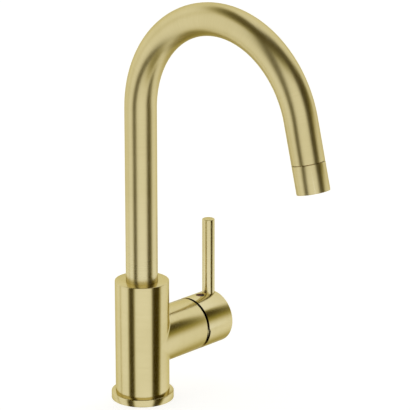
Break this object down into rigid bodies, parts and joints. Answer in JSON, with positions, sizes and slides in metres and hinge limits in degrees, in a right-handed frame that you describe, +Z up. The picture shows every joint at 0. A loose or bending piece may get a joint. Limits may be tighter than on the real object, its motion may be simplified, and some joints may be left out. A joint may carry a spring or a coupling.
{
  "type": "single lever mixer tap",
  "caption": "Deck-mounted single-lever mixer tap in brushed brass with a swivelling gooseneck spout and a side branch with a pin lever.",
  "frame": {"origin": "centre of the base on the deck surface, on the axis of the column", "axes": "+Z up along the column, -Y forwards along the spout at rest, +X along the side branch with the lever"},
  "size_m": [0.1208, 0.2347, 0.3695],
  "materials": {
    "brushed_brass": "satin brushed, pale champagne brass",
    "raw_brass": "turned, uncoated",
    "steel": "stainless",
    "black_rubber": "moulded rubber",
    "slide_plastic": "natural acetal",
    "white_plastic": "moulded plastic",
    "grey_plastic": "moulded plastic",
    "ceramic": "lapped alumina ceramic",
    "red_enamel": "recessed coloured half disc",
    "blue_enamel": "recessed coloured half disc"
  },
  "bodies": {
    "body": {"base_ring": "brushed_brass", "base_gasket": "black_rubber", "body": "brushed_brass", "spout_screw": "steel", "thrust_washer": "slide_plastic", "cartridge_plate": "white_plastic", "seat_seals": "black_rubber", "disc_seals": "black_rubber", "fixed_disc": "ceramic", "cartridge_housing": "white_plastic", "cartridge_nut": "raw_brass", "dust_sleeve": "black_rubber"},
    "spout": {"spout_shank": "raw_brass", "spout_slide_rings": "slide_plastic", "spout_orings": "black_rubber", "spout_tube": "brushed_brass", "outlet_insert": "raw_brass", "outlet_collar": "brushed_brass", "aerator_seal": "black_rubber", "aerator_shell": "grey_plastic", "aerator_strainer": "white_plastic", "flow_regulator": "white_plastic", "aerator_grid": "grey_plastic"},
    "carrier": {"lever_carrier": "white_plastic", "carrier_oring": "black_rubber", "pivot_pin": "steel"},
    "disc": {"moving_disc": "ceramic", "disc_coupler": "white_plastic"},
    "handle": {"spindle": "raw_brass", "handle_cap": "brushed_brass", "handle_screw": "steel", "lever_stud": "steel", "lever_rod": "brushed_brass", "index_hot": "red_enamel", "index_cold": "blue_enamel"}
  },
  "joints": [
    {"name": "spout_swivel", "type": "hinge", "parent": "body", "child": "spout", "pos_m": [0, 0, 0.1], "axis": [0, 0, 1], "continuous": true},
    {"name": "lever_temperature", "type": "hinge", "parent": "body", "child": "carrier", "pos_m": [0.048, 0, 0.0518], "axis": [1, 0, 0], "range_deg": [-45, 45]},
    {"name": "lever_flow", "type": "hinge", "parent": "carrier", "child": "handle", "pos_m": [0.048, 0, 0.0518], "axis": [0, 1, 0], "range_deg": [0, 20]},
    {"name": "disc_slide", "type": "slide", "parent": "carrier", "child": "disc", "axis": [0, 0, 1], "range_m": [0, 0.0033]}
  ],
  "couplings": [
    {"joint": "disc_slide", "follows": "lever_flow", "m_per_rad": 0.009275}
  ]
}
